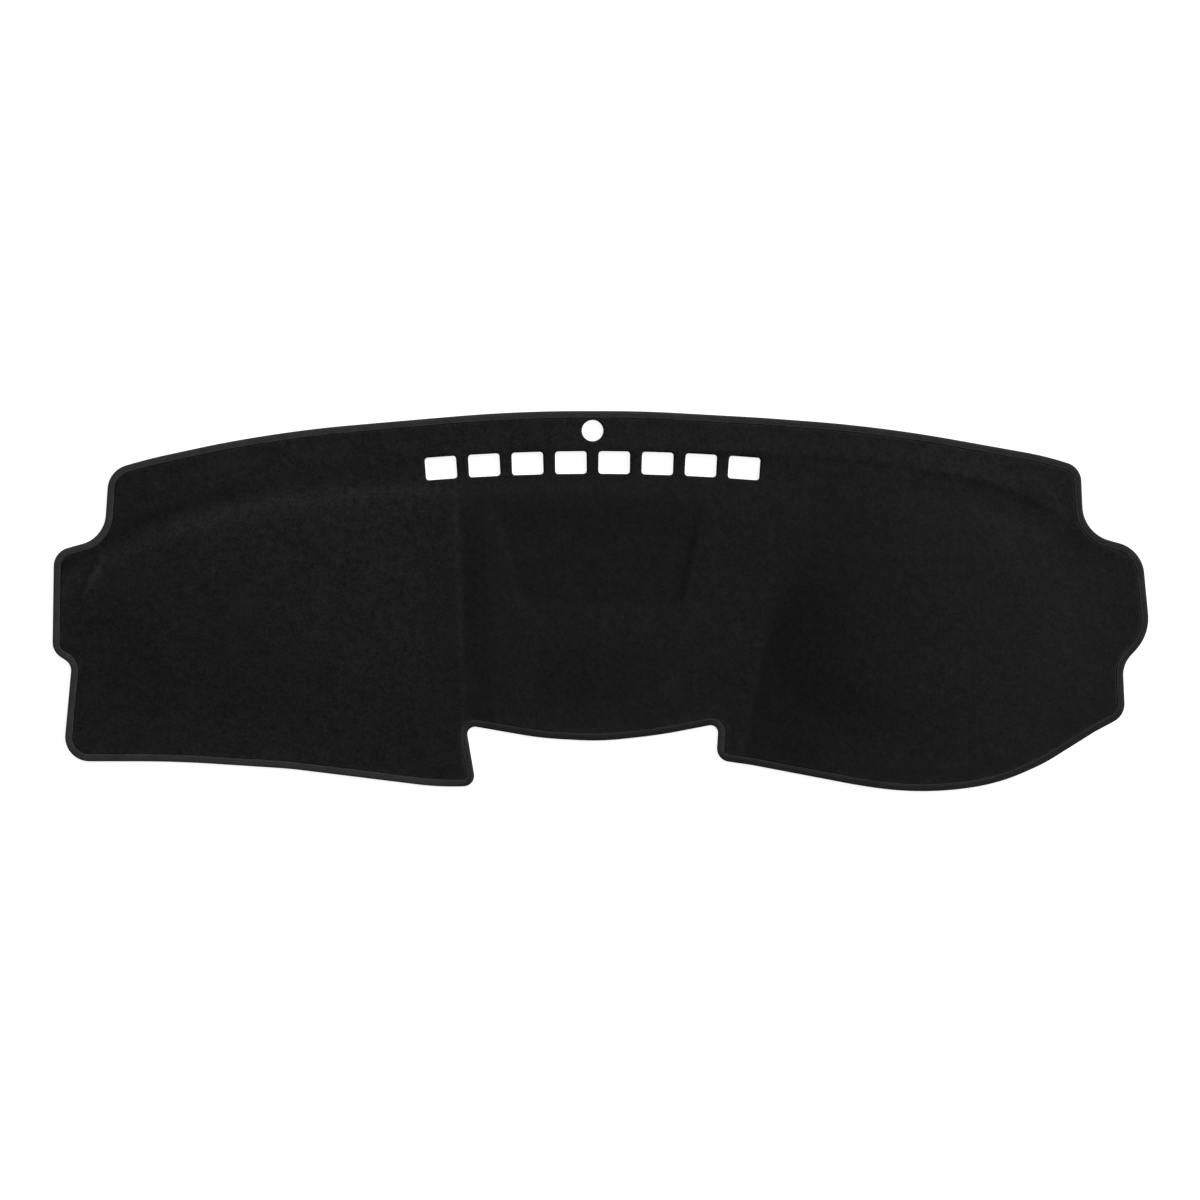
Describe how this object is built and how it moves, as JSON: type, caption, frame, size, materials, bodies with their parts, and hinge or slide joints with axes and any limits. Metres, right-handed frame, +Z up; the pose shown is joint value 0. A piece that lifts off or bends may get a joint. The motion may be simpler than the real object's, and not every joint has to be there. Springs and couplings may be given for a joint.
{
  "type": "dashboard cover mat",
  "caption": "Moulded carpet mat that lies over a right-hand-drive dashboard, with a taped edge, a row of defroster outlets, a sensor hole and a notch for the centre air outlets.",
  "frame": {"origin": "centre of the bounding box's footprint, on the floor that the mat lies on", "axes": "+X to the driver's side (right), +Y to the windscreen, +Z up, out of the pile"},
  "size_m": [1.479, 0.5134, 0.0309],
  "materials": {
    "carpet_pile": "black short-pile needled carpet, matt, with a speckled nap",
    "binding_tape": "black woven edge tape, folded over and sewn, slightly lighter than the pile"
  },
  "bodies": {
    "root": {"carpet": "carpet_pile", "edge_binding": "binding_tape"}
  },
  "joints": []
}
